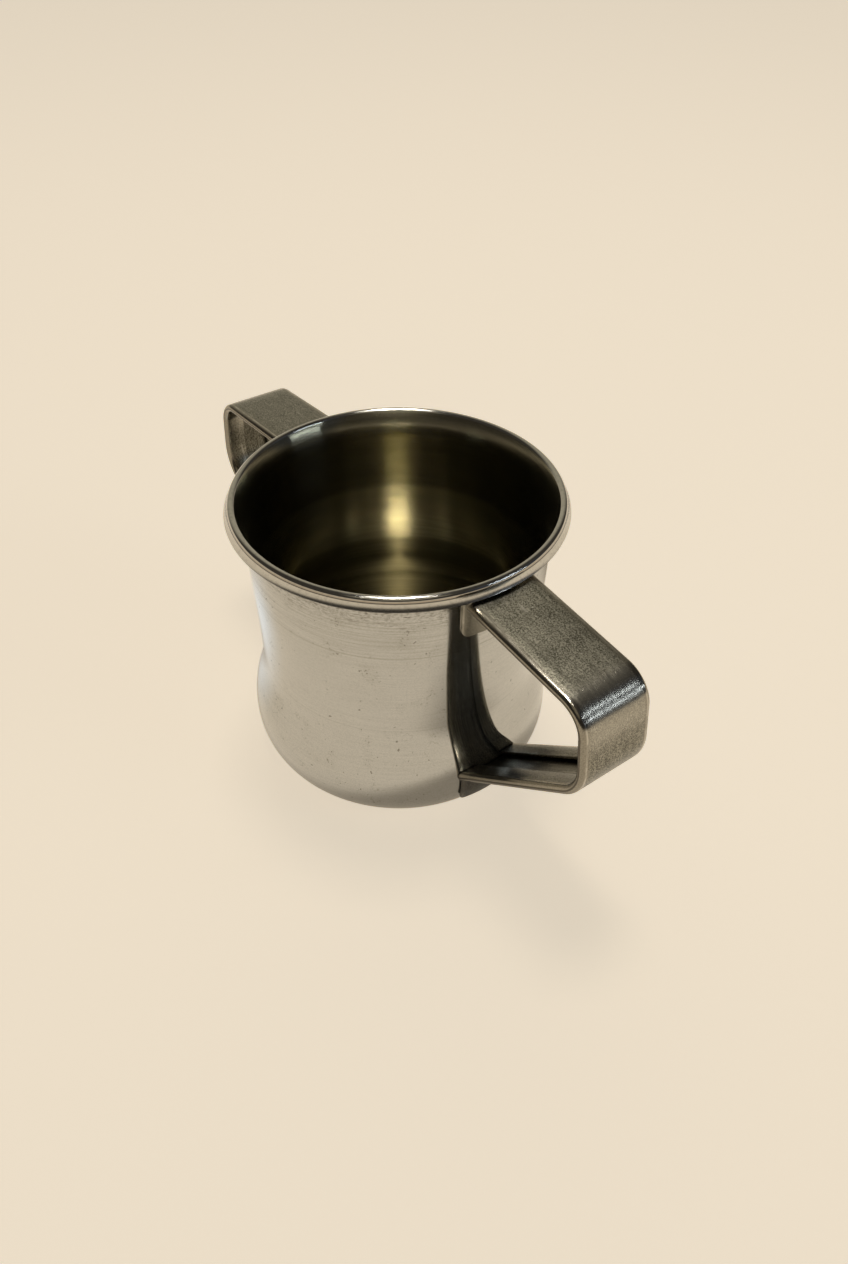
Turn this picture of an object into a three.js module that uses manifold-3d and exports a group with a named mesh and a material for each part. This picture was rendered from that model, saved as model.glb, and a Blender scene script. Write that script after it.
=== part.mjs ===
// A two-handled steel cup: one drawn shell with a folded rim, and two strap handles spot-welded to it.
// Millimetres, +Z up, origin at the centre of the base, handles along X.
import * as THREE from 'three';
import { mergeVertices } from 'three/addons/utils/BufferGeometryUtils.js';
import Module from 'manifold-3d';

const wasm = await Module();
wasm.setup();

// Shell, drawn from one sheet
const CUP_HEIGHT = 84;
const BODY_SHEET = 0.7;
const NECK_RADIUS = 40.5;
const WAIST_INSET = 0.9;
const WAIST_HEIGHT = 36;
const BELLY_BULGE = 3.1;
const BELLY_HEIGHT = 14;
const BASE_CORNER_WIDTH = 9.6;

// Rim: the sheet flares, rolls over a bead, tucks in under it and hangs out as a hem with a free lower edge
const RIM_OVERHANG = 4.5;
const BEAD_RADIUS = 1.1;
const BEAD_INSET = 2.15;
const BEAD_TUCK = THREE.MathUtils.degToRad(12);
const HEM_DROP = 3.1;
const FLARE_TILT = THREE.MathUtils.degToRad(30);

// Handle strap: a flat sheet whose two long edges are rolled under into lips
const STRAP_WIDTH = 20.4;
const STRAP_THICKNESS = 2.4;
const STRAP_SHEET = 0.8;
const LIP_WIDTH = 6.2;

// Handle loop, measured along the outer face of the strap
const STRAP_RIM_GAP = 0.9;
const GRIP_DEPTH = 42.2;
const STRAP_FALL = 3.5;
const GRIP_FACE = 23;
const GRIP_SPREAD = 3;
const UPPER_BEND = 9;
const LOWER_BEND = 13.5;
const LOW_SEAT_HEIGHT = 16.6;

// Weld tabs at the two ends of the strap, shaped to the wall
const SEAT_GAP = 0.3;
const TAB_INSET = 0.8;
const TAB_BEND = 3;
const TAB_CORNER = 2;
const UPPER_TAB = 13.2;
const LOWER_TAB = 9;

// Fineness of the facets, and how far joined pieces of one handle run into each other
const TURN_STEPS = 72;
const CURVE_STEPS = 6;
const BEAD_STEPS = 4;
const ROLL_STEPS = 6;
const BEND_STEPS = 8;
const JOIN_OVERLAP = 0.6;
const SAME_POINT = 1e-6;

const BELLY_RADIUS = NECK_RADIUS + BELLY_BULGE;
const WAIST_RADIUS = NECK_RADIUS - WAIST_INSET;
const BASE_FLAT_RADIUS = BELLY_RADIUS - BASE_CORNER_WIDTH;
const RIM_RADIUS = NECK_RADIUS + RIM_OVERHANG;

// Points of a path with the unit normal on the left of its travel, curves cut into steps
function trace(path, steps) {
  const line = [];
  for (const curve of path.curves) {
    const count = curve.isLineCurve ? 1 : steps;
    for (let i = 0; i <= count; i++) {
      const point = curve.getPoint(i / count);
      const along = curve.getTangent(i / count);
      const last = line[line.length - 1];
      if (last && last.point.distanceTo(point) < SAME_POINT) continue;
      line.push({ point, left: new THREE.Vector2(-along.y, along.x) });
    }
  }
  return line;
}

function shifted(line, distance) {
  return line.map(({ point, left }) => point.clone().addScaledVector(left, distance));
}

// A route of straight runs whose right-hand corners are rounded
function roundedRoute(corners, radii) {
  const route = new THREE.Path();
  route.moveTo(corners[0].x, corners[0].y);
  for (let i = 1; i < corners.length - 1; i++) {
    const into = corners[i].clone().sub(corners[i - 1]).normalize();
    const away = corners[i + 1].clone().sub(corners[i]).normalize();
    const turn = Math.acos(into.dot(away));
    const radius = radii[i - 1];
    const start = corners[i].clone().addScaledVector(into, -radius * Math.tan(turn / 2));
    const centre = start.clone().add(new THREE.Vector2(into.y, -into.x).multiplyScalar(radius));
    const angle = Math.atan2(start.y - centre.y, start.x - centre.x);
    route.lineTo(start.x, start.y);
    route.absarc(centre.x, centre.y, radius, angle, angle - turn, true);
  }
  const end = corners[corners.length - 1];
  route.lineTo(end.x, end.y);
  return route;
}

// A profile of radius and height turned about Z
function turned(profile) {
  const geometry = new THREE.LatheGeometry(profile, TURN_STEPS);
  geometry.rotateX(Math.PI / 2);
  return geometry;
}

function closedRing(outside, inside) {
  return [...outside, ...inside.reverse(), outside[0].clone()];
}

function toSolid(geometry) {
  const bare = geometry.clone();
  bare.deleteAttribute('normal');
  bare.deleteAttribute('uv');
  const merged = mergeVertices(bare, SAME_POINT);
  const corners = merged.index.array;
  const triangles = [];
  for (let i = 0; i < corners.length; i += 3) {
    const [a, b, c] = [corners[i], corners[i + 1], corners[i + 2]];
    if (a !== b && b !== c && c !== a) triangles.push(a, b, c);
  }
  return new wasm.Manifold(new wasm.Mesh({
    numProp: 3,
    vertProperties: new Float32Array(merged.attributes.position.array),
    triVerts: new Uint32Array(triangles),
  }));
}

function toGeometry(solid) {
  const { vertProperties, triVerts } = solid.getMesh();
  const geometry = new THREE.BufferGeometry();
  geometry.setAttribute('position', new THREE.BufferAttribute(new Float32Array(vertProperties), 3));
  geometry.setIndex(new THREE.BufferAttribute(new Uint32Array(triVerts), 1));
  geometry.computeVertexNormals();
  return geometry;
}

// The flare runs from the neck into the core of the bead
const beadCore = BEAD_RADIUS - BODY_SHEET;
const beadCentre = new THREE.Vector2(RIM_RADIUS - BEAD_INSET, CUP_HEIGHT - BEAD_RADIUS);
const flareReach = beadCentre.x - beadCore * Math.cos(FLARE_TILT) - NECK_RADIUS;
const flareRadius = flareReach / (1 - Math.cos(FLARE_TILT));
const flareStart = beadCentre.y + beadCore * Math.sin(FLARE_TILT) - flareRadius * Math.sin(FLARE_TILT);

// The outside of the sheet from the middle of the base to the bead
function bodyWall() {
  const bellyPull = (WAIST_HEIGHT - BELLY_HEIGHT) / 2;
  const wall = new THREE.Path();
  wall.moveTo(0, 0);
  wall.lineTo(BASE_FLAT_RADIUS, 0);
  wall.absellipse(BASE_FLAT_RADIUS, BELLY_HEIGHT, BASE_CORNER_WIDTH, BELLY_HEIGHT, -Math.PI / 2, 0, false);
  wall.bezierCurveTo(
    BELLY_RADIUS, BELLY_HEIGHT + bellyPull,
    WAIST_RADIUS, WAIST_HEIGHT - bellyPull,
    WAIST_RADIUS, WAIST_HEIGHT,
  );
  wall.lineTo(NECK_RADIUS, flareStart);
  wall.absarc(NECK_RADIUS + flareRadius, flareStart, flareRadius, Math.PI, Math.PI - FLARE_TILT, true);
  return wall;
}

const wallLine = trace(bodyWall(), CURVE_STEPS);

// The visible side of the rim, from the flare over the bead and down the hem
function rimFold() {
  const fold = new THREE.Path();
  fold.absarc(beadCentre.x, beadCentre.y, BEAD_RADIUS, Math.PI - FLARE_TILT, Math.PI / 2, true);
  fold.absarc(beadCentre.x, beadCentre.y, BEAD_RADIUS, Math.PI / 2, -BEAD_TUCK, true);
  fold.lineTo(RIM_RADIUS, CUP_HEIGHT - HEM_DROP);
  return trace(fold, BEAD_STEPS).slice(1);
}

function cupBody() {
  const fold = rimFold();
  const outside = [...shifted(wallLine, 0), ...shifted(fold, -BODY_SHEET)];
  const inside = [...shifted(wallLine, BODY_SHEET), ...shifted(fold, 0)];
  return turned([...outside, ...inside.reverse()]);
}

// Corners of the loop on the strap's outer face, as distance from the axis and height
const strapTop = CUP_HEIGHT - HEM_DROP - STRAP_RIM_GAP;
const upperCorner = new THREE.Vector2(NECK_RADIUS + GRIP_DEPTH, strapTop - STRAP_FALL);
const lowerCorner = upperCorner.clone().add(new THREE.Vector2(GRIP_SPREAD, -GRIP_FACE));
const lowSeat = new THREE.Vector2(BELLY_RADIUS, LOW_SEAT_HEIGHT);
const tabRadius = NECK_RADIUS + SEAT_GAP;
const topSlope = STRAP_FALL / GRIP_DEPTH;
const topSeat = new THREE.Vector2(tabRadius, strapTop - SEAT_GAP * topSlope);

// The strap's section: x across the strap, y from its outer face into the loop
function strapSection() {
  const half = STRAP_WIDTH / 2;
  const roll = STRAP_THICKNESS / 2;
  const fold = roll - STRAP_SHEET;
  const edge = half - roll;
  const lip = half - LIP_WIDTH;
  const outline = new THREE.Path();
  outline.moveTo(-lip, STRAP_THICKNESS);
  outline.lineTo(-edge, STRAP_THICKNESS);
  outline.absarc(-edge, roll, roll, Math.PI / 2, 1.5 * Math.PI, false);
  outline.lineTo(edge, 0);
  outline.absarc(edge, roll, roll, -Math.PI / 2, Math.PI / 2, false);
  outline.lineTo(lip, STRAP_THICKNESS);
  outline.lineTo(lip, STRAP_THICKNESS - STRAP_SHEET);
  outline.lineTo(edge, roll + fold);
  outline.absarc(edge, roll, fold, Math.PI / 2, -Math.PI / 2, true);
  outline.lineTo(-edge, STRAP_SHEET);
  outline.absarc(-edge, roll, fold, 1.5 * Math.PI, Math.PI / 2, true);
  outline.lineTo(-lip, STRAP_THICKNESS - STRAP_SHEET);
  return trace(outline, ROLL_STEPS).map(({ point }) => point);
}

// A section carried along a route in the XZ plane, its y axis kept on the right of the travel
function swept(section, stations) {
  const positions = [];
  for (const { point, left } of stations) {
    for (const { x, y } of section) {
      positions.push(point.x - left.x * y, x, point.y - left.y * y);
    }
  }
  const count = section.length;
  const faces = [];
  for (let s = 0; s < stations.length - 1; s++) {
    for (let i = 0; i < count; i++) {
      const here = s * count + i;
      const next = s * count + (i + 1) % count;
      faces.push(here, next + count, next, here, here + count, next + count);
    }
  }
  const lastRing = (stations.length - 1) * count;
  for (const [a, b, c] of THREE.ShapeUtils.triangulateShape(section, [])) {
    faces.push(a, b, c, lastRing + a, lastRing + c, lastRing + b);
  }
  const geometry = new THREE.BufferGeometry();
  geometry.setAttribute('position', new THREE.Float32BufferAttribute(positions, 3));
  geometry.setIndex(faces);
  return geometry;
}

// Everything nearer the axis than the strap's rolled edges reach: past the tab bend, and at the belly
function strapTrim() {
  const seat = shifted(wallLine, -SEAT_GAP).filter(({ x, y }) => x > 0 && y < WAIST_HEIGHT);
  const bendEnd = tabRadius + TAB_BEND - JOIN_OVERLAP;
  return toSolid(turned([
    new THREE.Vector2(0, seat[0].y),
    ...seat,
    new THREE.Vector2(seat[seat.length - 1].x, WAIST_HEIGHT),
    new THREE.Vector2(bendEnd, WAIST_HEIGHT),
    new THREE.Vector2(bendEnd, CUP_HEIGHT),
    new THREE.Vector2(0, CUP_HEIGHT),
  ]));
}

function strapLoop() {
  const low = lowSeat.clone().sub(lowerCorner).normalize();
  const inside = lowSeat.clone().addScaledVector(low, BASE_CORNER_WIDTH);
  const route = roundedRoute([topSeat, upperCorner, lowerCorner, inside], [UPPER_BEND, LOWER_BEND]);
  return toSolid(swept(strapSection(), trace(route, BEND_STEPS))).subtract(strapTrim());
}

// A plate across the handle, rounded at its lower corners, from the axis out past the strap
function tabPlate(foot, head) {
  const half = STRAP_WIDTH / 2 - TAB_INSET;
  const plate = new THREE.Shape();
  plate.moveTo(-half, head);
  plate.lineTo(-half, foot + TAB_CORNER);
  plate.absarc(-half + TAB_CORNER, foot + TAB_CORNER, TAB_CORNER, Math.PI, 1.5 * Math.PI, false);
  plate.lineTo(half - TAB_CORNER, foot);
  plate.absarc(half - TAB_CORNER, foot + TAB_CORNER, TAB_CORNER, 1.5 * Math.PI, 2 * Math.PI, false);
  plate.lineTo(half, head);
  const geometry = new THREE.ExtrudeGeometry(plate, {
    depth: upperCorner.x,
    bevelEnabled: false,
    curveSegments: ROLL_STEPS,
  });
  const across = new THREE.Vector3(0, 1, 0);
  const upright = new THREE.Vector3(0, 0, 1);
  const outward = new THREE.Vector3(1, 0, 0);
  geometry.applyMatrix4(new THREE.Matrix4().makeBasis(across, upright, outward));
  return toSolid(geometry);
}

// The strap's sheet turned down at the neck in a round bend
function upperTab() {
  const foot = new THREE.Vector2(tabRadius, strapTop - UPPER_TAB);
  const runOut = topSeat.clone().lerp(upperCorner, (TAB_BEND + 2 * JOIN_OVERLAP) / GRIP_DEPTH);
  const line = trace(roundedRoute([foot, topSeat, runOut], [TAB_BEND]), BEND_STEPS);
  const ring = toSolid(turned(closedRing(shifted(line, -STRAP_SHEET), shifted(line, 0))));
  return ring.intersect(tabPlate(foot.y, CUP_HEIGHT));
}

// The strap's sheet turned down at the belly, following the wall towards the base
function lowerTab() {
  const belly = wallLine.filter(({ point }) => point.y > 0 && point.y <= WAIST_HEIGHT);
  const outside = shifted(belly, -SEAT_GAP - STRAP_SHEET);
  const ring = toSolid(turned(closedRing(outside, shifted(belly, -SEAT_GAP))));
  return ring.intersect(tabPlate(LOW_SEAT_HEIGHT - LOWER_TAB, LOW_SEAT_HEIGHT + STRAP_SHEET));
}

const steelBody = new THREE.MeshStandardMaterial({ color: 0xb9b2a4, roughness: 0.22, metalness: 1 });
const steelStrap = new THREE.MeshStandardMaterial({ color: 0x8f8a7c, roughness: 0.38, metalness: 1 });

const cup = new THREE.Group();

const body = new THREE.Mesh(cupBody(), steelBody);
body.name = 'cup_body';
cup.add(body);

const handleForm = toGeometry(strapLoop().add(upperTab()).add(lowerTab()));
for (const [name, angle] of [['right_handle', 0], ['left_handle', Math.PI]]) {
  const handle = new THREE.Mesh(handleForm, steelStrap.clone());
  handle.name = name;
  handle.rotation.z = angle;
  cup.add(handle);
}

export default cup;
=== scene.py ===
# %% [markdown]
# A two-handled steel cup. The shell is one drawn and spun sheet with a folded rim, and each handle is a
# strap of sheet steel with rolled edges, bent into a loop and spot-welded to the wall by its end tabs.
# The lesson models both as sheet metal: first the line of the sheet, then its thickness.

# %% Load the frame
import math
from collections import namedtuple

import bpy
from mathutils import Matrix, Vector


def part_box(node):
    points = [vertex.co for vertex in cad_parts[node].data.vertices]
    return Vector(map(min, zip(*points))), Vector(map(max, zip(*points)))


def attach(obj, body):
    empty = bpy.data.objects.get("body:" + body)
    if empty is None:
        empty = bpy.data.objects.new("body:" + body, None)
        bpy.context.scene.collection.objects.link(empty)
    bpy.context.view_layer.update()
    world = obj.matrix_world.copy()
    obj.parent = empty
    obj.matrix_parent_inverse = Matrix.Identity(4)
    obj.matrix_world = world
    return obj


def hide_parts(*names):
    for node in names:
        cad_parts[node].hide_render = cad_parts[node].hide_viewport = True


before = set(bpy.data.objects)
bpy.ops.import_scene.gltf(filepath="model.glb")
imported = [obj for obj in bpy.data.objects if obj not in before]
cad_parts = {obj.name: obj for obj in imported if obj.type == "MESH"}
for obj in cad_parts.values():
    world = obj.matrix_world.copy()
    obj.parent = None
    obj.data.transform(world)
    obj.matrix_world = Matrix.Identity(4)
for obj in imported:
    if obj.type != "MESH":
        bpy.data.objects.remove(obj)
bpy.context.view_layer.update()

# %% [markdown]
# The frame is in metres, with the cup standing on z = 0 and the handles along X. The outer sizes are read
# from the frame, and the rest are the sizes that a sheet-metal drawing of the cup would name.

# %% Sizes of the shell
MM = 0.001
TOUCH = 0.01 * MM
_, shell_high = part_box("cup_body")
CUP_HEIGHT = shell_high.z
RIM_RADIUS = shell_high.x
SHELL_SHEET = 0.7 * MM
NECK_RADIUS = 40.5 * MM
WAIST_RADIUS = 39.6 * MM
WAIST_HEIGHT = 36 * MM
BELLY_RADIUS = 43.6 * MM
BELLY_HEIGHT = 14 * MM
BASE_FLAT_RADIUS = 34 * MM
BEAD_RADIUS = 1.1 * MM
BEAD_INSET = 2.15 * MM
BEAD_TUCK = math.radians(12)
HEM_DROP = 3.1 * MM
FLARE_TILT = math.radians(30)
EDGE_BREAK = 0.15 * MM
print("cup", round(CUP_HEIGHT / MM, 2), "mm high, rim", round(2 * RIM_RADIUS / MM, 2), "mm across")

# %% Sizes of the handles
strap_low, strap_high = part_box("right_handle")
STRAP_WIDTH = strap_high.y - strap_low.y
STRAP_THICKNESS = 2.4 * MM
STRAP_SHEET = 0.8 * MM
LIP_WIDTH = 6.2 * MM
STRAP_RIM_GAP = 0.9 * MM
GRIP_DEPTH = 42.2 * MM
STRAP_FALL = 3.5 * MM
GRIP_FACE = 23 * MM
GRIP_SPREAD = 3 * MM
UPPER_BEND = 9 * MM
LOWER_BEND = 13.5 * MM
LOW_SEAT_HEIGHT = 16.6 * MM
SEAT_GAP = 0.3 * MM
TAB_INSET = 0.8 * MM
TAB_BEND = 3 * MM
TAB_CORNER = 2 * MM
TAB_CLEARANCE = 0.2 * MM
UPPER_TAB = 13.2 * MM
LOWER_TAB = 9 * MM
print("strap", round(STRAP_WIDTH / MM, 2), "mm wide, to", round(strap_high.x / MM, 2), "mm from the axis")

# %% [markdown]
# The outline of a spun cup is a line in the plane of the axis. The outside of the sheet is written first: flat
# base, round corner, belly, waist, neck and flare. Arcs are cut into short steps by one helper, and another
# moves a line square to itself, which gives the inside of the sheet.


# %% Outline of the wall
def arc(centre, radii, start, end, steps):
    angles = [start + (end - start) * i / steps for i in range(1, steps + 1)]
    return [(centre[0] + radii[0] * math.cos(a), centre[1] + radii[1] * math.sin(a)) for a in angles]


def ease(start, end, steps):
    """A line that leaves start upright and reaches end upright, as a bezier with level pull."""
    pull = (end[1] - start[1]) / 2
    heights = (start[1], start[1] + pull, end[1] - pull, end[1])
    radii = (start[0], start[0], end[0], end[0])
    points = []
    for i in range(1, steps + 1):
        t = i / steps
        weights = ((1 - t) ** 3, 3 * t * (1 - t) ** 2, 3 * t * t * (1 - t), t ** 3)
        radius = sum(w * r for w, r in zip(weights, radii))
        height = sum(w * h for w, h in zip(weights, heights))
        points.append((radius, height))
    return points


def outline_offset(line, distance):
    """The outline moved outwards by a distance, square to itself."""
    moved = []
    for i, (radius, height) in enumerate(line):
        before, after = line[max(i - 1, 0)], line[min(i + 1, len(line) - 1)]
        along = Vector((after[0] - before[0], after[1] - before[1])).normalized()
        moved.append((max(radius + along.y * distance, 0), height - along.x * distance))
    return moved


bead_core = BEAD_RADIUS - SHELL_SHEET
bead_centre = (RIM_RADIUS - BEAD_INSET, CUP_HEIGHT - BEAD_RADIUS)
flare_reach = bead_centre[0] - bead_core * math.cos(FLARE_TILT) - NECK_RADIUS
flare_radius = flare_reach / (1 - math.cos(FLARE_TILT))
flare_start = bead_centre[1] + bead_core * math.sin(FLARE_TILT) - flare_radius * math.sin(FLARE_TILT)


def wall_outline():
    corner = (BELLY_RADIUS - BASE_FLAT_RADIUS, BELLY_HEIGHT)
    wall = [(0, 0), (BASE_FLAT_RADIUS / 2, 0), (BASE_FLAT_RADIUS, 0)]
    wall += arc((BASE_FLAT_RADIUS, BELLY_HEIGHT), corner, -math.pi / 2, 0, 16)
    wall += ease((BELLY_RADIUS, BELLY_HEIGHT), (WAIST_RADIUS, WAIST_HEIGHT), 20)
    wall += ease((WAIST_RADIUS, WAIST_HEIGHT), (NECK_RADIUS, flare_start), 10)
    wall += arc((NECK_RADIUS + flare_radius, flare_start), (flare_radius, flare_radius),
                math.pi, math.pi - FLARE_TILT, 12)
    return wall


wall_line = wall_outline()
print("outline of", len(wall_line), "wall points, flare from", round(flare_start / MM, 1), "mm")

# %% [markdown]
# At the rim the sheet rolls over a bead, tucks in under it, and hangs out as a hem with a free lower edge. The
# tuck is a real crease, so a dark line runs under the bead. The same fold is drawn twice, on the seen side and
# on the hidden side of the sheet, and the free edge between them is broken, as a trimmed edge is.

# %% Fold of the rim
tuck = Vector(arc(bead_centre, (BEAD_RADIUS, BEAD_RADIUS), 0, -BEAD_TUCK, 1)[0])
hem_end = Vector((RIM_RADIUS, CUP_HEIGHT - HEM_DROP))
hem_along = (hem_end - tuck).normalized()
hem_inward = Vector((hem_along.y, -hem_along.x))


def bead_line(radius):
    over = arc(bead_centre, (radius, radius), math.pi - FLARE_TILT, math.pi / 2, 6)
    return over + arc(bead_centre, (radius, radius), math.pi / 2, -BEAD_TUCK, 10)


def sheet_outline():
    """Once round the sheet: up the outside with the hidden fold, free edge, seen fold and down the inside."""
    hidden_end = hem_end + hem_inward * SHELL_SHEET
    free_edge = [
        hidden_end - hem_along * EDGE_BREAK,
        hidden_end - hem_inward * EDGE_BREAK,
        hem_end + hem_inward * EDGE_BREAK,
        hem_end - hem_along * EDGE_BREAK,
    ]
    inside = outline_offset(wall_line, -SHELL_SHEET)
    hidden = wall_line + bead_line(bead_core) + [tuple(point) for point in free_edge[:2]]
    seen = inside + bead_line(BEAD_RADIUS) + [tuple(point) for point in reversed(free_edge[2:])]
    return hidden + seen[::-1]


sheet_line = sheet_outline()
print("rim crease at", round(tuck.y / MM, 2), "mm, hem to", round(hem_end.y / MM, 2), "mm")

# %% [markdown]
# Helpers for modelling by operators. A piece starts as one vertex, made by merging a plane, and the line of
# the sheet grows from it by extruding. Faces and points are picked by their place.


# %% Modelling helpers
def start_point(name, place):
    """A new object in edit mode, holding one selected vertex."""
    bpy.ops.object.select_all(action="DESELECT")
    bpy.ops.mesh.primitive_plane_add(size=MM)
    piece = bpy.context.object
    piece.name = piece.data.name = name
    bpy.ops.object.mode_set(mode="EDIT")
    bpy.ops.mesh.select_mode(type="VERT")
    bpy.ops.mesh.merge(type="CENTER")
    bpy.ops.transform.translate(value=place)
    return piece


def extrude_line(points):
    """Draws on from the selected vertex, which is the first of the points."""
    for here, there in zip(points, points[1:]):
        step = Vector(there) - Vector(here)
        bpy.ops.mesh.extrude_vertices_move(TRANSFORM_OT_translate={"value": step})


def extrude_edges(step):
    bpy.ops.mesh.extrude_edges_move(TRANSFORM_OT_translate={"value": step})


def pick(piece, wanted):
    """Selects the points of a piece in edit mode whose place fits."""
    bpy.ops.object.mode_set(mode="OBJECT")
    bpy.ops.object.mode_set(mode="EDIT")
    bpy.ops.mesh.select_mode(type="VERT")
    bpy.ops.mesh.select_all(action="DESELECT")
    bpy.ops.object.mode_set(mode="OBJECT")
    for vertex in piece.data.vertices:
        vertex.select = wanted(vertex.co)
    bpy.ops.object.mode_set(mode="EDIT")


def make_active(piece):
    bpy.ops.object.select_all(action="DESELECT")
    bpy.context.view_layer.objects.active = piece
    piece.select_set(True)


def apply_modifier(piece, kind, **settings):
    modifier = piece.modifiers.new(kind.title(), kind)
    for name, value in settings.items():
        setattr(modifier, name, value)
    make_active(piece)
    bpy.ops.object.modifier_apply(modifier=modifier.name)


def face_out(piece, is_outside):
    """Makes the sheet's faces agree, and turns them over if the face that is tested points in."""
    bpy.ops.mesh.select_all(action="SELECT")
    bpy.ops.mesh.remove_doubles(threshold=TOUCH)
    bpy.ops.mesh.normals_make_consistent(inside=False)
    bpy.ops.object.mode_set(mode="OBJECT")
    if not any(is_outside(face.center, face.normal) for face in piece.data.polygons):
        bpy.ops.object.mode_set(mode="EDIT")
        bpy.ops.mesh.flip_normals()
        bpy.ops.object.mode_set(mode="OBJECT")


def break_edges(piece):
    """Takes the sharpness off cut edges, which then catch a line of light."""
    sharp = math.radians(50)
    apply_modifier(piece, "BEVEL", width=EDGE_BREAK, segments=2, limit_method="ANGLE", angle_limit=sharp)


def shade(piece, degrees):
    make_active(piece)
    bpy.ops.object.shade_smooth_by_angle(angle=math.radians(degrees))


# %% [markdown]
# The real shell is drawn into a cup and then spun over a former, and its rim is rolled over by a wheel. Spin
# does the same here: the line round the sheet turns once about the axis, and gives the closed wall with its
# fold in one go.

# %% Spin the shell
SHELL_TURNS = 192


def spun(name, line, steps):
    places = [(radius, 0, height) for radius, height in line]
    piece = start_point(name, places[0])
    extrude_line(places)
    bpy.ops.mesh.select_all(action="SELECT")
    bpy.ops.mesh.spin(steps=steps, angle=2 * math.pi, center=(0, 0, 0), axis=(0, 0, 1))
    return piece


def outside_of_waist(place, normal):
    radius = math.hypot(place.x, place.y)
    at_waist = abs(place.z - WAIST_HEIGHT) < 2 * MM and radius > WAIST_RADIUS - SHELL_SHEET / 2
    return at_waist and normal.x * place.x + normal.y * place.y > 0


shell = spun("spun_shell", sheet_line, SHELL_TURNS)
face_out(shell, outside_of_waist)
print("shell", len(shell.data.polygons), "faces,", tuple(round(x / MM, 2) for x in shell.dimensions), "mm")

# %% [markdown]
# A handle starts as the flat of its top run. Its long edges are spun under into rolls and drawn in as lips,
# and the open end of that section is then carried round the loop: spin for a bend, extrude for a run.

# %% Corners of the loop
strap_top = CUP_HEIGHT - HEM_DROP - STRAP_RIM_GAP
tab_radius = NECK_RADIUS + SEAT_GAP
upper_corner = Vector((NECK_RADIUS + GRIP_DEPTH, 0, strap_top - STRAP_FALL))
lower_corner = upper_corner + Vector((GRIP_SPREAD, 0, -GRIP_FACE))
low_seat = Vector((BELLY_RADIUS, 0, LOW_SEAT_HEIGHT))
top_seat = Vector((tab_radius, 0, strap_top - STRAP_FALL * SEAT_GAP / GRIP_DEPTH))
top_run = (upper_corner - top_seat).normalized()
grip_run = (lower_corner - upper_corner).normalized()
low_run = (low_seat - lower_corner).normalized()
ACROSS = Vector((0, 1, 0))
Bend = namedtuple("Bend", "start end centre turn")


def bend(corner, into, away, radius):
    """A round bend on the strap's outer face."""
    turn = into.angle(away)
    reach = radius * math.tan(turn / 2)
    start = corner - into * reach
    inward = ACROSS.cross(into)
    return Bend(start, corner + away * reach, start + inward * radius, turn)


upper = bend(upper_corner, top_run, grip_run, UPPER_BEND)
lower = bend(lower_corner, grip_run, low_run, LOWER_BEND)
print("bends of", [round(math.degrees(b.turn), 1) for b in (upper, lower)], "degrees")

# %% [markdown]
# The strap's flat has a few columns of faces, because its wall end is later pushed into the curve of the
# neck, column by column. The rolls and lips are real folds with a gap, so the loop's inner side shows a
# channel.

# %% Top run with its rolled edges
STRAP_COLUMNS = 6
ROLL_STEPS = 8
BEND_STEPS = 14
roll = STRAP_THICKNESS / 2
flat_half = STRAP_WIDTH / 2 - roll
lip_half = STRAP_WIDTH / 2 - LIP_WIDTH
down = ACROSS.cross(top_run)
flat_start = top_seat + top_run * (TAB_BEND + TAB_CLEARANCE)


def strap_flat(name):
    edge = flat_start - ACROSS * flat_half
    piece = start_point(name, edge)
    extrude_line([edge + ACROSS * (2 * flat_half * i / STRAP_COLUMNS) for i in range(STRAP_COLUMNS + 1)])
    bpy.ops.mesh.select_all(action="SELECT")
    extrude_edges(upper.start - flat_start)
    for side in (1, -1):
        pick(piece, lambda place: place.y * side > flat_half - TOUCH)
        centre = flat_start + ACROSS * side * flat_half + down * roll
        bpy.ops.mesh.spin(steps=ROLL_STEPS, angle=math.pi * side, center=centre, axis=top_run)
        extrude_edges(ACROSS * side * (lip_half - flat_half))
    return piece


strap = strap_flat("right_strap_handle")
bpy.ops.object.mode_set(mode="OBJECT")
print("top run", tuple(round(x / MM, 2) for x in strap.dimensions), "mm")

# %% Carry the section round the loop


def carry_section(piece):
    pick(piece, lambda place: (place - upper.start).dot(top_run) > -TOUCH)
    bpy.ops.mesh.spin(steps=BEND_STEPS, angle=-upper.turn, center=upper.centre, axis=ACROSS)
    extrude_edges(lower.start - upper.end)
    bpy.ops.mesh.spin(steps=BEND_STEPS, angle=-lower.turn, center=lower.centre, axis=ACROSS)
    past_wall = low_seat + low_run * (BELLY_RADIUS - BASE_FLAT_RADIUS)
    extrude_edges(past_wall - lower.end)


carry_section(strap)
bpy.ops.object.mode_set(mode="OBJECT")
print("loop", tuple(round(x / MM, 2) for x in strap.dimensions), "mm")

# %% [markdown]
# At the neck the strap's sheet turns down into a weld tab. Its row of edges is spun down in a small bend,
# drawn down to the foot, and the two lower corners are rounded. Then each column of points moves back by the
# depth of the neck's curve there, so the bend and the tab lie along the round wall.

# %% Upper weld tab
TAB_STEPS = 8
CORNER_STEPS = 6
SAME_COLUMN = 0.001


def along_run(place):
    """How far a place lies past the start of the flat, along the top run."""
    return (place - flat_start).dot(top_run)


def neck_depth(across):
    return math.sqrt(tab_radius ** 2 - across ** 2) - tab_radius


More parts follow.
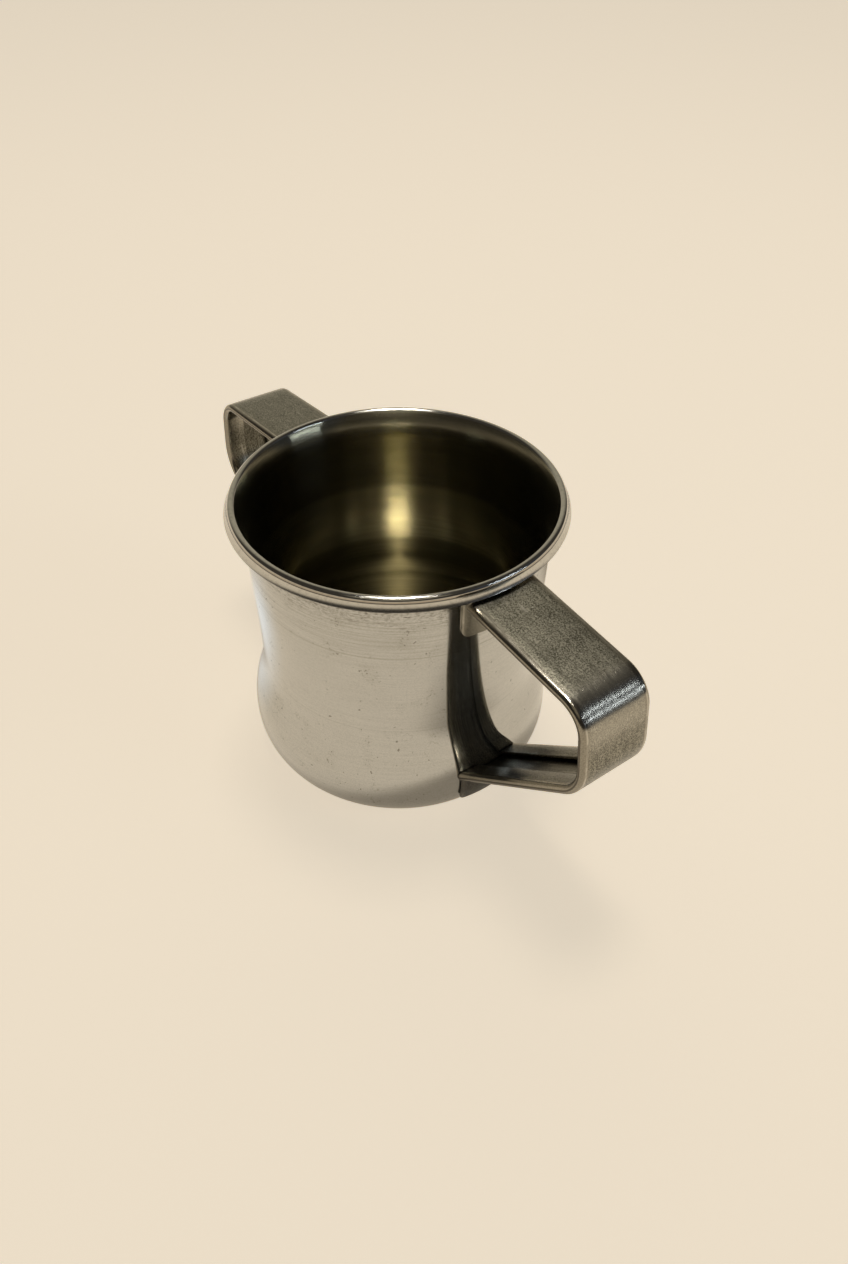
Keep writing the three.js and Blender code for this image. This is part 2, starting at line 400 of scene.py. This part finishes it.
def add_upper_tab(piece):
    foot = strap_top - UPPER_TAB
    bend_start = top_seat + top_run * TAB_BEND
    bend_centre = bend_start + down * TAB_BEND
    turn = math.pi / 2 + math.asin(-top_run.z)

    def on_flat_end(place):
        on_face = (place - flat_start).dot(down) < TOUCH and abs(place.y) < flat_half + TOUCH
        return along_run(place) < TOUCH and on_face

    def on_foot_corner(place):
        on_foot = place.x < flat_start.x - TAB_BEND / 2 and abs(place.z - foot) < TOUCH
        return on_foot and abs(place.y) > flat_half - TOUCH

    pick(piece, on_flat_end)
    extrude_edges(bend_start - flat_start)
    bpy.ops.mesh.spin(steps=TAB_STEPS, angle=turn, center=bend_centre, axis=ACROSS)
    extrude_edges((0, 0, foot - bend_centre.z))
    pick(piece, on_foot_corner)
    bpy.ops.mesh.bevel(offset=TAB_CORNER, segments=CORNER_STEPS, affect="VERTICES")


def curve_to_neck(piece):
    bpy.ops.object.mode_set(mode="OBJECT")

    def at_neck(place):
        return along_run(place) < TOUCH and place.z > WAIST_HEIGHT

    columns = {round(v.co.y / MM, 3) for v in piece.data.vertices if at_neck(v.co)}
    for column in sorted(columns):
        pick(piece, lambda place: at_neck(place) and abs(place.y / MM - column) < SAME_COLUMN)
        bpy.ops.transform.translate(value=top_run * neck_depth(column * MM))


add_upper_tab(strap)
curve_to_neck(strap)
face_out(strap, lambda place, normal: normal.z > 0.9 and place.z > strap_top - STRAP_FALL)
apply_modifier(strap, "SOLIDIFY", thickness=STRAP_SHEET, offset=-1, use_even_offset=True)
break_edges(strap)
print("strap with its upper tab,", len(strap.data.polygons), "faces")

# %% [markdown]
# At the belly the strap's folded section ends against the wall. The real strap is ground to fit the wall, and
# here a Boolean cuts it with a former: a body of the wall's own outline, a hair larger, which leaves the weld
# gap.

# %% Cut the strap to the belly
belly_line = [point for point in wall_line if 0 < point[1] <= WAIST_HEIGHT]


def outside_of_belly(place, normal):
    return abs(place.z - BELLY_HEIGHT) < MM and normal.dot(place) > BELLY_RADIUS / 2


def belly_former():
    seat = outline_offset(belly_line, SEAT_GAP)
    former = spun("belly_former", [(0, seat[0][1])] + seat + [(0, seat[-1][1])], SHELL_TURNS)
    face_out(former, outside_of_belly)
    return former


former = belly_former()
apply_modifier(strap, "BOOLEAN", object=former, operation="DIFFERENCE", solver="EXACT")
print("strap cut to the belly,", len(strap.data.polygons), "faces")

# %% [markdown]
# Only the strap's sheet goes on below as the lower tab, which follows the belly. It starts as a flat plate
# with rounded corners, is pressed onto the former with Shrinkwrap, gets the sheet's thickness and is joined
# to the strap.

# %% Lower weld tab
LOW_TAB_COLUMNS = 6
LOW_TAB_ROWS = 3
PRESS_CUTS = 3


def lower_tab():
    half = STRAP_WIDTH / 2 - TAB_INSET
    edge = Vector((BELLY_RADIUS + LOWER_TAB, -half, LOW_SEAT_HEIGHT - LOWER_TAB))
    piece = start_point("lower_tab", edge)
    extrude_line([edge + ACROSS * (2 * half * i / LOW_TAB_COLUMNS) for i in range(LOW_TAB_COLUMNS + 1)])
    bpy.ops.mesh.select_all(action="SELECT")
    for row in range(LOW_TAB_ROWS):
        extrude_edges((0, 0, (LOWER_TAB + STRAP_SHEET) / LOW_TAB_ROWS))
    pick(piece, lambda place: place.z < edge.z + TOUCH and abs(place.y) > half - TOUCH)
    bpy.ops.mesh.bevel(offset=TAB_CORNER, segments=CORNER_STEPS, affect="VERTICES")
    bpy.ops.mesh.select_all(action="SELECT")
    bpy.ops.mesh.subdivide(number_cuts=PRESS_CUTS)
    face_out(piece, lambda place, normal: normal.x > 0.5)
    return piece


tab = lower_tab()
apply_modifier(tab, "SHRINKWRAP", target=former, wrap_method="PROJECT", use_project_x=True,
               use_positive_direction=False, use_negative_direction=True)
apply_modifier(tab, "SOLIDIFY", thickness=STRAP_SHEET, offset=1, use_even_offset=True)
break_edges(tab)
apply_modifier(strap, "BOOLEAN", object=tab, operation="UNION", solver="EXACT")
for spent in (tab, former):
    bpy.data.objects.remove(spent)
print("handle", tuple(round(x / MM, 2) for x in strap.dimensions), "mm,", len(strap.data.polygons), "faces")

# %% [markdown]
# The two handles are alike, so the second is a copy with its own mesh, turned half round the cup's axis.

# %% Second handle
SMOOTH_UNDER = 40
shade(shell, SMOOTH_UNDER)
shade(strap, SMOOTH_UNDER)
make_active(strap)
bpy.ops.object.duplicate()
left_strap = bpy.context.object
left_strap.name = left_strap.data.name = "left_strap_handle"
left_strap.rotation_euler.z = math.pi
bpy.ops.object.transform_apply(location=True, rotation=True, scale=True)
print("second handle reaches", round(min(v.co.x for v in left_strap.data.vertices) / MM, 2), "mm")

# %% [markdown]
# Shader maths as Python. A wire is one output socket, and sums of wires add Math nodes.


# %% Node helper
class Wire:
    def __init__(self, tree, socket=None):
        self.tree = tree
        self.socket = socket

    def node(self, kind, settings=None, sockets=None, out=0):
        made = self.tree.nodes.new(kind)
        for name, value in (settings or {}).items():
            setattr(made, name, value)
        for name, value in (sockets or {}).items():
            if isinstance(value, Wire):
                self.tree.links.new(value.socket, made.inputs[name])
            else:
                made.inputs[name].default_value = value
        return Wire(self.tree, made.outputs[out])

    def maths(self, operation, first, second=0.0):
        return self.node("ShaderNodeMath", {"operation": operation}, {0: first, 1: second})

    def __add__(self, other):
        return self.maths("ADD", self, other)

    def __sub__(self, other):
        return self.maths("SUBTRACT", self, other)

    def __rsub__(self, other):
        return self.maths("SUBTRACT", other, self)

    def __mul__(self, other):
        return self.maths("MULTIPLY", self, other)

    __radd__ = __add__
    __rmul__ = __mul__

    def part(self, axis):
        """The X, Y or Z of a place."""
        return self.node("ShaderNodeSeparateXYZ", None, {0: self}, out=axis)

    def step(self, low, high):
        """0 below low, 1 above high, eased between, or the other way round if low is above high."""
        settings = {"interpolation_type": "SMOOTHSTEP"}
        ends = {"From Min": min(low, high), "From Max": max(low, high),
                "To Min": 0.0 if low < high else 1.0, "To Max": 1.0 if low < high else 0.0}
        return self.node("ShaderNodeMapRange", settings, {"Value": self, **ends})

    def line_at(self, value, half_width):
        """1 at a value, fading to 0 at the half width on both sides of it."""
        return self.maths("ABSOLUTE", self - value).step(half_width, 0.0)

    def mix(self, first, second):
        return self.node("ShaderNodeMix", {"data_type": "RGBA"}, {0: self, 6: first, 7: second}, out=2)


# %% Finish helpers
RELIEF_DEPTH = 0.05 * MM
RING_SQUEEZE = (0.02, 0.02, 1)


def new_finish(name):
    finish = bpy.data.materials.new(name)
    finish.use_nodes = True
    tree = finish.node_tree
    shader = tree.nodes["Principled BSDF"]
    place = Wire(tree).node("ShaderNodeTexCoord", out="Object")
    return finish, shader, place


def feed(shader, **sockets):
    for name, value in sockets.items():
        socket = shader.inputs[name.replace("_", " ")]
        if isinstance(value, Wire):
            value.tree.links.new(value.socket, socket)
        else:
            socket.default_value = value


def noise(place, per_mm, detail=3.0, stretch=(1, 1, 1), turn=(0, 0, 0)):
    """A noise of so many cells per millimetre, stretched along the axes of a turned frame."""
    scale = tuple(per_mm / MM * s for s in stretch)
    turned = place.node("ShaderNodeMapping", None, {"Vector": place, "Rotation": turn, "Scale": scale})
    return place.node("ShaderNodeTexNoise", None, {"Vector": turned, "Scale": 1.0, "Detail": detail})


def relief(height, strength):
    sockets = {"Strength": strength, "Distance": RELIEF_DEPTH, "Height": height}
    return height.node("ShaderNodeBump", None, sockets)


# %% [markdown]
# The outside of the shell is satin-polished steel, near a mirror. Above a faint spinning line it is brushed
# with fine rings, and dark dust and pits gather under the rim, where the steel is also painted darker
# towards the rim as painted shade under the hem. Below it is smoother, with brown specks and hair scratches.
# Rings go round the axis, so their noise is squeezed along Z. Each mark is a mask, and the masks darken and
# roughen the steel.

# %% Marks on the outside
SHADE_AND_DUST_START, SHADE_AND_DUST_FULL = 69 * MM, 80 * MM
BRUSH_START, BRUSH_FULL = 56 * MM, 72 * MM
SPIN_LINE = 62 * MM
WAIST_LINE = 35 * MM
finish_out, shader, place = new_finish("spun_steel_outside")
height = place.part("Z")
clouds = noise(place, 0.06, 4.0)
rings = noise(place, 3.0, 4.0, RING_SQUEEZE)
brushed = height.step(BRUSH_START, BRUSH_FULL)
# Painted shade: the wall is painted darker towards the rim, under the hem, where dust also gathers.
rim_shade_and_dust = height.step(SHADE_AND_DUST_START, SHADE_AND_DUST_FULL)
dust_and_shade = noise(place, 1.7, 5.0, (0.6, 0.6, 1.2)).step(0.42, 0.68) * rim_shade_and_dust
pits = noise(place, 0.8, 4.0, (0.5, 0.5, 1.5)).step(0.6, 0.67) * rim_shade_and_dust
smudges = noise(place, 0.16, 4.0).step(0.56, 0.72)
specks = noise(place, 0.75, 2.0).step(0.70, 0.76) + noise(place, 1.5, 2.0).step(0.60, 0.68) * smudges
hairs = noise(place, 0.1, 3.0).line_at(0.5, 0.005) * noise(place, 0.05, 2.0).step(0.52, 0.6)
seams = height.line_at(SPIN_LINE, 0.35 * MM) + height.line_at(WAIST_LINE, 0.4 * MM) * 0.5
grain = noise(place, 2.5, 2.0).step(0.4, 0.7)
print("dust under the rim from", round(SHADE_AND_DUST_START / MM), "mm up")

# %% Outside finish
STEEL_DARK, STEEL_LIGHT = (0.53, 0.525, 0.50, 1), (0.59, 0.585, 0.56, 1)
RING_GREY = (0.34, 0.325, 0.28, 1)
DUST_AND_SHADE_BROWN = (0.12, 0.10, 0.065, 1)
# The brown mark is dust, pits and specks, together with the painted shade under the rim.
stain_and_shade = place.maths("MINIMUM", dust_and_shade * 0.6 + pits * 0.75 + specks * 0.6, 0.85)
ring_lines = rings.step(0.35, 0.7) * (0.12 + 0.35 * brushed)
lines = ring_lines + seams * 0.4 + hairs * 0.5 + smudges * 0.12 + grain * 0.2
worn = clouds.mix(STEEL_DARK, STEEL_LIGHT)
feed(
    shader,
    Base_Color=stain_and_shade.mix(lines.mix(worn, RING_GREY), DUST_AND_SHADE_BROWN),
    Metallic=0.95,
    Roughness=0.07 + 0.05 * clouds + 0.08 * rings * brushed + 0.25 * stain_and_shade,
    Anisotropic=0.5,
    Anisotropic_Rotation=0.25,
    Normal=relief(rings * brushed - stain_and_shade - seams * 0.5, 0.06),
)
print(finish_out.name, len(finish_out.node_tree.nodes), "nodes")

# %% [markdown]
# Inside, the same sheet is less polished and holds a warm film from use, thinner in a band at half height. A
# look into the cup meets the steel three or four times, and each time the film takes more blue, so the inside
# runs dark and golden. The fine rings of the spinning spread each light up and down, which the turned
# anisotropy does. The flat of the base keeps a duller brown stain, where the last drink dries.

# %% Inside finish
THICK_FILM = (0.33, 0.31, 0.22, 1)
THIN_FILM_DARK, THIN_FILM_LIGHT = (0.72, 0.67, 0.50, 1), (0.78, 0.73, 0.55, 1)
RING_BRONZE = (0.43, 0.40, 0.29, 1)
DRIED_DRINK = (0.13, 0.115, 0.075, 1)
finish_in, shader, place = new_finish("spun_steel_inside")
height = place.part("Z")
rings = noise(place, 1.4, 4.0, RING_SQUEEZE)
clouds = noise(place, 0.05, 4.0)
worn_band = height.step(39 * MM, 42 * MM) * height.step(61 * MM, 58 * MM)
base_stain = height.step(2 * SHELL_SHEET, 0.8 * MM) * (0.92 + 0.16 * clouds)
film = worn_band.mix(THICK_FILM, clouds.mix(THIN_FILM_DARK, THIN_FILM_LIGHT))
ringed = (rings.step(0.35, 0.65) * 0.6).mix(film, RING_BRONZE)
feed(
    shader,
    Base_Color=base_stain.mix(ringed, DRIED_DRINK),
    Metallic=1.0,
    Roughness=0.11 + 0.02 * clouds + 0.05 * rings + 0.24 * base_stain,
    Anisotropic=1.0,
    Anisotropic_Rotation=0.25,
    Normal=relief(rings, 0.06),
)
print(finish_in.name, len(finish_in.node_tree.nodes), "nodes")

# %% [markdown]
# Hands and cloths keep the rolled rim bright, so it is the smoothest steel of the cup, and the hem below it is
# duller. A tan band is painted on the bead's lower side as a painted reflection, and black is painted in the
# crease and on the free edge as painted shade. All are masks on their height.

# %% Rim finish
RIM_DARK, RIM_LIGHT = (0.52, 0.50, 0.45, 1), (0.62, 0.60, 0.55, 1)
SCUFF_GREY = (0.3, 0.28, 0.24, 1)
TAN_REFLECTION = (0.25, 0.20, 0.14, 1)
PAINTED_SHADE_BLACK = (0.04, 0.035, 0.028, 1)
finish_rim, shader, place = new_finish("rolled_rim_steel")
height = place.part("Z")
scuffs = noise(place, 0.35, 4.0)
grain = noise(place, 1.2, 3.0)
hem_dull = height.step(tuck.y + 0.1 * MM, tuck.y - 0.3 * MM)
# Painted reflection: a tan band on the bead's lower side.
tan_reflection = height.line_at(tuck.y + 0.3 * MM, 0.6 * MM)
# Painted shade: black lines at the hem's free edge and in the crease under the bead.
free_edge_shade = height.step(hem_end.y + 0.18 * MM, hem_end.y + 0.06 * MM)
crease_and_edge_shade = height.line_at(tuck.y, 0.24 * MM) + free_edge_shade
scuffed = (grain.step(0.5, 0.7) * 0.3).mix(scuffs.mix(RIM_DARK, RIM_LIGHT), SCUFF_GREY)
with_tan_reflection = (tan_reflection * 0.6).mix(scuffed, TAN_REFLECTION)
feed(
    shader,
    Base_Color=(crease_and_edge_shade * 0.9).mix(with_tan_reflection, PAINTED_SHADE_BLACK),
    Metallic=1.0,
    Roughness=0.05 + 0.07 * scuffs + 0.08 * hem_dull + 0.25 * crease_and_edge_shade,
)
print(finish_rim.name, len(finish_rim.node_tree.nodes), "nodes")

# %% Lay the finishes on the shell
OUTSIDE, INSIDE, RIM = range(3)
for finish in (finish_out, finish_in, finish_rim):
    shell.data.materials.append(finish)
rim_floor = hem_end.y - SHELL_SHEET
rim_inner = bead_centre[0] - BEAD_RADIUS * math.cos(FLARE_TILT)


def shell_finish(place, normal):
    """The finish of a face, by its place and by the side it looks to."""
    radius = math.hypot(place.x, place.y)
    to_axis = -(normal.x * place.x + normal.y * place.y) / radius
    if place.z > rim_floor and radius > rim_inner:
        return RIM
    return INSIDE if to_axis > 0.5 or normal.z > 0.5 else OUTSIDE


for face in shell.data.polygons:
    face.material_index = shell_finish(face.center, face.normal)
laid = [face.material_index for face in shell.data.polygons]
print("faces per finish", [laid.count(index) for index in (OUTSIDE, INSIDE, RIM)])

# %% [markdown]
# The straps are darker, with a speckled satin face that the rolling mill left, in fine streaks along the
# strap, and bright specks painted in as glints. Hands have polished the rolled edges: a smooth tan band, a
# line of bright wear with a painted highlight where the roll starts, and a black line at the side painted as
# a dark reflection. Edges run along the strap, so the distance from its middle tells where each of them is.
# Hands have also rubbed the upper bend bright, and it is painted lighter as a sheen; the upper tab is painted
# paler as lit, and the lower tab is painted dark as painted shade. The height and the reach from the axis tell
# where these are.

# %% Marks on the straps
SMOOTH_START = flat_half - 1.4 * MM
finish_strap, shader, place = new_finish("satin_strap_steel")
from_middle = place.maths("ABSOLUTE", place.part("Y"))
reach = place.maths("ABSOLUTE", place.part("X"))
height = place.part("Z")
speckle = noise(place, 2.8, 3.0)
streaks = noise(place, 1.6, 3.0, (0.12, 1.0, 0.12))
patches = noise(place, 0.4, 4.0)
clouds = noise(place, 0.09, 4.0)
scratch = noise(place, 0.5, 6.0, (0.15, 1.3, 0.15), (0.0, 0.2, 0.5)).step(0.66, 0.69)
# Painted glints: bright specks in the colour, which also raise small bumps.
glint_specks = noise(place, 1.6, 2.0).step(0.70, 0.74)
smooth_edge = from_middle.step(SMOOTH_START, flat_half + 0.2 * MM)
# Wear and painted highlight: a bright line where the roll starts.
wear_and_highlight_line = from_middle.line_at(flat_half, 0.45 * MM) * (0.35 + 0.65 * patches.step(0.4, 0.6))
# Painted reflection: a black line along the side of the roll, standing in for a dark reflection.
side_dark_reflection = from_middle.step(STRAP_WIDTH / 2 - 0.055 * MM, STRAP_WIDTH / 2 - 0.03 * MM)
# Smoother at the upper bend, and painted lighter there as a painted sheen.
bend_polish_and_sheen = reach.step(72 * MM, 79 * MM) * height.step(62 * MM, 70 * MM)
# Painted light: the upper tab is painted paler, as lit.
lit_upper_tab = reach.step(44.5 * MM, 42.5 * MM) * height.step(60 * MM, 66 * MM)
# Painted shade: the lower tab is painted dark grey.
lower_tab_shade = reach.step(48 * MM, 45 * MM) * height.step(19 * MM, 16 * MM)
print("smooth edge from", round(SMOOTH_START / MM, 2), "mm off the middle")

# %% Strap finish
# The bright colour paints wear and also painted highlights, glints and sheen; the pale tab, grey and black
# colours are painted light and shade.
SPECKLE_DARK, SPECKLE_LIGHT = (0.095, 0.09, 0.069, 1), (0.34, 0.32, 0.26, 1)
PATCH_GREY = (0.15, 0.14, 0.11, 1)
LIT_TAB_STEEL = (0.5, 0.47, 0.39, 1)
TAN_EDGE = (0.32, 0.29, 0.235, 1)
BRIGHT_WEAR_AND_GLINT = (0.66, 0.62, 0.54, 1)
TAB_SHADE_GREY = (0.08, 0.08, 0.08, 1)
SIDE_REFLECTION_BLACK = (0.05, 0.04, 0.03, 1)
grain = 0.8 * speckle + 0.2 * streaks
satin = grain.step(0.38, 0.62).mix(SPECKLE_DARK, SPECKLE_LIGHT)
mottled = (patches.step(0.48, 0.7) * 0.45).mix(satin, PATCH_GREY)
edged_with_lit_tab = (smooth_edge * 0.7).mix((lit_upper_tab * 0.55).mix(mottled, LIT_TAB_STEEL), TAN_EDGE)
# Scratches are real; the bright specks and the bend's lightening are painted glints and sheen.
rubbed_and_glints = (scratch * 0.35 + glint_specks * 0.6 + bend_polish_and_sheen * 0.35) * (1 - smooth_edge)
polish_and_highlights = place.maths("MINIMUM", wear_and_highlight_line * 0.6 + rubbed_and_glints, 1.0).mix(edged_with_lit_tab, BRIGHT_WEAR_AND_GLINT)
satin_gloss = 0.32 - 0.10 * smooth_edge - 0.10 * clouds + 0.08 * streaks
feed(
    shader,
    Base_Color=(side_dark_reflection * 0.8).mix((lower_tab_shade * 0.7).mix(polish_and_highlights, TAB_SHADE_GREY), SIDE_REFLECTION_BLACK),
    Metallic=1.0,
    Roughness=satin_gloss - 0.06 * bend_polish_and_sheen + 0.12 * lit_upper_tab,
    Normal=relief((grain + glint_specks) * (1 - smooth_edge), 0.22),
)
for piece in (strap, left_strap):
    piece.data.materials.append(finish_strap)
print(finish_strap.name, len(finish_strap.node_tree.nodes), "nodes")

# %% [markdown]
# Each new piece stands for its CAD node, whose part is hidden, and rides on the one body of the cup.

# %% Seat the pieces in the frame
for piece, node, slot in (
    (shell, "cup_body", "body_steel"),
    (strap, "right_handle", "handle_steel"),
    (left_strap, "left_handle", "handle_steel"),
):
    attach(piece, "root")
    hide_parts(node)
print("pieces", [piece.name for piece in (shell, strap, left_strap)])

# %% [markdown]
# The stage is a pale cream floor. Most of its colour is its own glow for the camera and for reflections, so
# that the steel shows the same cream, and the rest is lit, so that the cup's soft shadow stays. The glow that
# the steel shows is weaker close under the cup and its handles, where a real table is in their shade, and
# weaker in a patch close behind it. There is a patch of window light beside the cup, which shows as a cool
# edge on the wall.

# %% Floor
CREAM = (0.838, 0.723, 0.565, 1)
GLOW = (0.82, 0.73, 0.60, 1)
WINDOW_LIGHT = (0.85, 0.93, 1.0, 1)
FLOOR_GLOW = 0.745
FLOOR_SIZE = 12.0
FLOOR_DROP = 0.05 * MM
UNDER_CUP, UNDER_CUP_SQUASH = (0, 0, 0), (0.55, 1.0, 0.0)
BEHIND_CUP = (-46 * MM, 112 * MM, 0)
BESIDE_CUP = (-70 * MM, -42 * MM, 0)
bpy.ops.object.select_all(action="DESELECT")
bpy.ops.mesh.primitive_plane_add(size=FLOOR_SIZE)
floor = bpy.context.object
floor.name = "floor"


def near(place, middle, inner, outer, squash=(1.0, 1.0, 0.0)):
    """1 near a spot of the floor, fading to 0 at the outer distance."""
    away = tuple(-x for x in middle)
    moved = place.node("ShaderNodeMapping", None, {"Vector": place, "Location": away, "Scale": squash})
    distance = place.node("ShaderNodeVectorMath", {"operation": "LENGTH"}, {0: moved}, out="Value")
    return distance.step(outer, inner)


def floor_glow(wires):
    path = wires.tree.nodes.new("ShaderNodeLightPath")
    rays = ("Is Camera Ray", "Is Glossy Ray", "Is Transmission Ray")
    camera_ray, glossy_ray, clear_ray = [Wire(wires.tree, path.outputs[name]) for name in rays]
    place = wires.node("ShaderNodeTexCoord", out="Object")
    contact = near(place, UNDER_CUP, 36 * MM, 52 * MM, UNDER_CUP_SQUASH)
    behind = near(place, BEHIND_CUP, 20 * MM, 80 * MM)
    shaded = (1 - 0.6 * contact) * (1 - 0.9 * behind)
    strength = wires.maths("MINIMUM", camera_ray + clear_ray + glossy_ray * shaded, 1.0) * FLOOR_GLOW
    window_patch = near(place, BESIDE_CUP, 0.0, 45 * MM) * glossy_ray
    return (window_patch * 0.8).mix(GLOW, WINDOW_LIGHT), strength + window_patch * 0.15


def floor_finish():
    finish = bpy.data.materials.new("cream_floor")
    finish.use_nodes = True
    tree = finish.node_tree
    tree.nodes.clear()
    wires = Wire(tree)
    lit = wires.node("ShaderNodeBsdfDiffuse", None, {"Color": CREAM})
    colour, strength = floor_glow(wires)
    glow = wires.node("ShaderNodeEmission", None, {"Color": colour, "Strength": strength})
    both = wires.node("ShaderNodeAddShader", None, {0: lit, 1: glow})
    out = tree.nodes.new("ShaderNodeOutputMaterial")
    tree.links.new(both.socket, out.inputs["Surface"])
    return finish


floor.data.materials.append(floor_finish())
floor.location.z = -FLOOR_DROP
print("floor", FLOOR_SIZE, "m wide")

# %% [markdown]
# The room is cream at the horizon, as the floor is, and dim above, so that the inside of the cup stays dark.
# The side across from the camera is lighter, and shows in the flat tops of the straps. The wall round the
# window is dark slate.

# %% Room
HORIZON = (0.72, 0.63, 0.50, 1)
DIM_CEILING = (0.05, 0.045, 0.038, 1)
LIGHT_WALL = (0.45, 0.415, 0.325, 1)
WARM_WALL = (0.34, 0.31, 0.24, 1)
SLATE_WALL = (0.05, 0.055, 0.065, 1)
LOOK_ACROSS = Vector((-0.85, 0.40, 0.30)).normalized()
TO_WINDOW = Vector((0.74, 0.55, 0.38)).normalized()
BEHIND_CAMERA = Vector((0.475, -0.322, 0.819)).normalized()


def room():
    world = bpy.data.worlds.new("room")
    bpy.context.scene.world = world
    world.use_nodes = True
    tree = world.node_tree
    ray = Wire(tree).node("ShaderNodeTexCoord", out="Generated")

    def facing(side):
        sockets = {0: ray, 1: side}
        return ray.node("ShaderNodeVectorMath", {"operation": "DOT_PRODUCT"}, sockets, out="Value")

    ceiling = facing(LOOK_ACROSS).step(0.6, 1.0).mix(DIM_CEILING, LIGHT_WALL)
    warm = facing(BEHIND_CAMERA).step(0.88, 0.97).mix(ceiling, WARM_WALL)
    walls = ray.part("Z").step(0.0, 0.16).mix(HORIZON, warm)
    colour = facing(TO_WINDOW).step(0.82, 0.95).mix(walls, SLATE_WALL)
    tree.links.new(colour.socket, tree.nodes["Background"].inputs["Color"])


room()
print("room", bpy.context.scene.world.name)

# %% [markdown]
# Small lamps, so that each shows as a clear light in the steel: the two panes of a cool window beyond the near
# handle, and one overhead. A thin strip and a warm card, both overhead, light only the steel, as a
# photographer's reflectors do, and the inside gathers the card's light into a golden column.

# %% Lamps
WINDOW_BLUE = (0.78, 0.88, 1.0)
PANE_SIZE, PANE_WATTS = (0.45, 0.03), 0.45
LAMP_AIM = Vector((0, 0, 0.05))


def lamp(name, place, size, watts, colour):
    data = bpy.data.lights.new(name, "AREA")
    data.shape = "RECTANGLE"
    data.size, data.size_y = size
    data.energy = watts
    data.color = colour
    light = bpy.data.objects.new(name, data)
    bpy.context.scene.collection.objects.link(light)
    light.location = place
    light.rotation_euler = (LAMP_AIM - Vector(place)).to_track_quat("-Z", "Y").to_euler()
    return light


lamp("window_low_pane", (0.85, 0.60, 0.36), PANE_SIZE, PANE_WATTS, WINDOW_BLUE)
lamp("window_high_pane", (0.85, 0.60, 0.70), PANE_SIZE, PANE_WATTS, WINDOW_BLUE)
lamp("overhead", (-0.17, 0.115, 1.25), (0.3, 0.3), 2.0, (1.0, 0.96, 0.9))
for reflector in (
    lamp("strip_overhead", (0.21, -0.142, 1.25), (0.6, 0.03), 1.0, (1.0, 0.97, 0.92)),
    lamp("card_overhead", (-0.08, 0.054, 1.2), (0.18, 0.46), 13.0, (1.0, 0.95, 0.84)),
):
    reflector.visible_diffuse = False
print("lamps", [o.name for o in bpy.context.scene.objects if o.type == "LIGHT"])

# %% [markdown]
# The camera stands where the photograph was taken: close above the cup, at a phone's short focal length.

# %% Camera
SENSOR = 36.0
LONG_SIDE = 1264
FOCAL_PIXELS = 948
CLIP_START = 0.01
CAMERA_AIM = Vector((0, 0, 0.035))
CAMERA_DISTANCE = 0.2779
CAMERA_SIDE = math.radians(34.09)
CAMERA_RISE = math.radians(42.08)
AIM_YAW = math.radians(-1.97)
AIM_PITCH = math.radians(0.08)
AIM_ROLL = math.radians(-0.48)


def set_camera():
    back = Vector((
        math.cos(CAMERA_RISE) * math.cos(CAMERA_SIDE),
        -math.cos(CAMERA_RISE) * math.sin(CAMERA_SIDE),
        math.sin(CAMERA_RISE),
    ))
    yaw = math.atan2(-back.y, -back.x) + AIM_YAW
    pitch = math.asin(back.z) + AIM_PITCH
    forward = Vector((math.cos(pitch) * math.cos(yaw), math.cos(pitch) * math.sin(yaw), -math.sin(pitch)))
    level = Vector((math.sin(yaw), -math.cos(yaw), 0))
    below = forward.cross(level)
    right = level * math.cos(AIM_ROLL) + below * math.sin(AIM_ROLL)
    upward = right.cross(forward)
    data = bpy.data.cameras.new("photo_camera")
    data.sensor_width = SENSOR
    data.lens = FOCAL_PIXELS / LONG_SIDE * SENSOR
    data.clip_start = CLIP_START
    camera = bpy.data.objects.new("photo_camera", data)
    bpy.context.scene.collection.objects.link(camera)
    turn = Matrix((right, upward, -forward)).transposed().to_4x4()
    camera.matrix_world = Matrix.Translation(CAMERA_AIM + back * CAMERA_DISTANCE) @ turn
    bpy.context.scene.camera = camera
    return camera


camera = set_camera()
bpy.context.scene.view_settings.view_transform = "Standard"
print("camera at", tuple(round(x, 4) for x in camera.location), "lens", round(camera.data.lens, 2))
